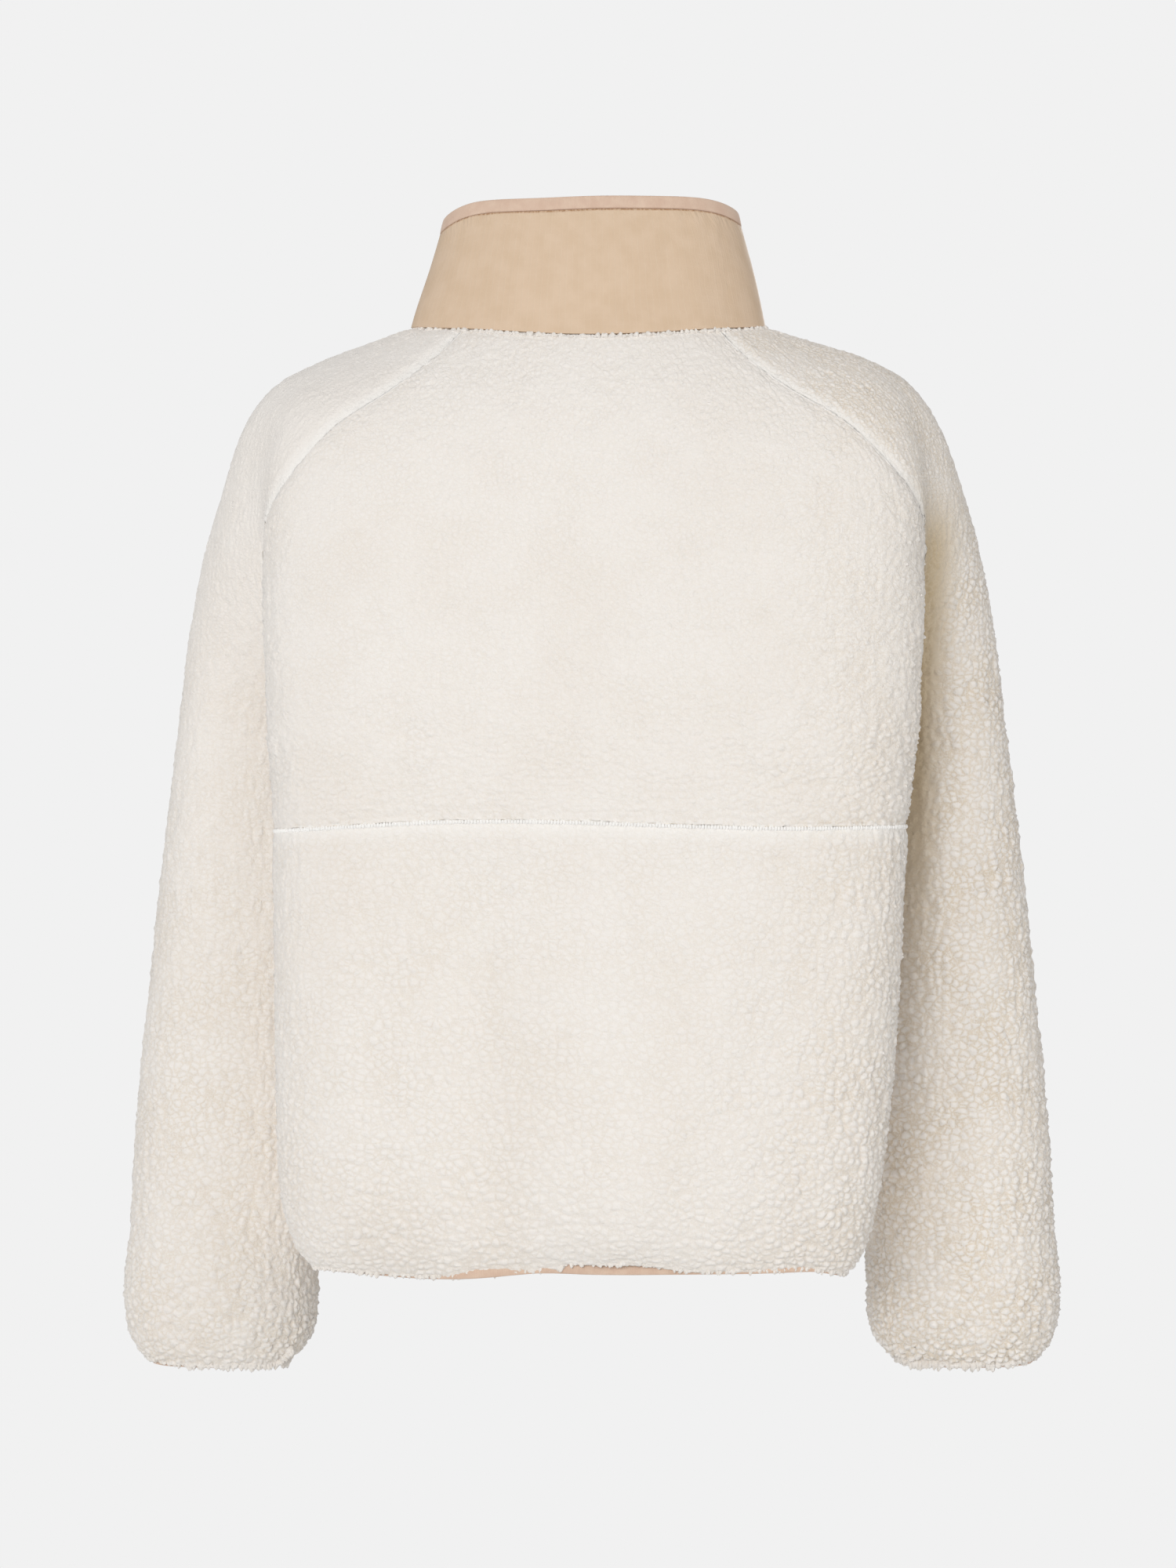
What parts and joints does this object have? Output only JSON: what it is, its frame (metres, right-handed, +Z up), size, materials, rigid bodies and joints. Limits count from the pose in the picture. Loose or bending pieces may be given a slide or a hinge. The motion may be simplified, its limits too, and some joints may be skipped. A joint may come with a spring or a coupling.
{
  "type": "fleece jacket",
  "caption": "Hip-length raglan jacket in sherpa fleece with a ripstop stand collar, a full-length front zip and elastic-bound collar, cuffs and hem, filled out as when worn.",
  "frame": {"origin": "the middle of the neck, at the level of the collar seam at centre back, where a wearer's neck carries the jacket", "axes": "+Z up, the front faces -Y, +X is the wearer's left"},
  "size_m": [0.601, 0.2759, 0.7517],
  "materials": {
    "sherpa_fleece": "curly pile, matte",
    "ripstop_nylon": "fine ripstop weave, slight sheen",
    "elastic_binding": "folded knitted elastic tape, matte",
    "zip_cloth": "woven zip tape, matte",
    "zip_metal": "satin"
  },
  "bodies": {
    "jacket": {"back_upper": "sherpa_fleece", "back_lower": "sherpa_fleece", "front_left": "sherpa_fleece", "front_right": "sherpa_fleece", "sleeve_left": "sherpa_fleece", "sleeve_right": "sherpa_fleece", "collar": "ripstop_nylon", "collar_binding": "elastic_binding", "hem_binding": "elastic_binding", "cuff_binding_left": "elastic_binding", "cuff_binding_right": "elastic_binding", "zip_tape_left": "zip_cloth", "zip_tape_right": "zip_cloth", "zip_slider": "zip_metal", "zip_box": "zip_metal"},
    "pull_tab": {"zip_pull": "zip_metal"}
  },
  "joints": [
    {"name": "pull_tab_hinge", "type": "hinge", "parent": "jacket", "child": "pull_tab", "pos_m": [0, -0.07415, 0.02958], "axis": [-1, 0, 0], "range_deg": [0, 160]}
  ]
}
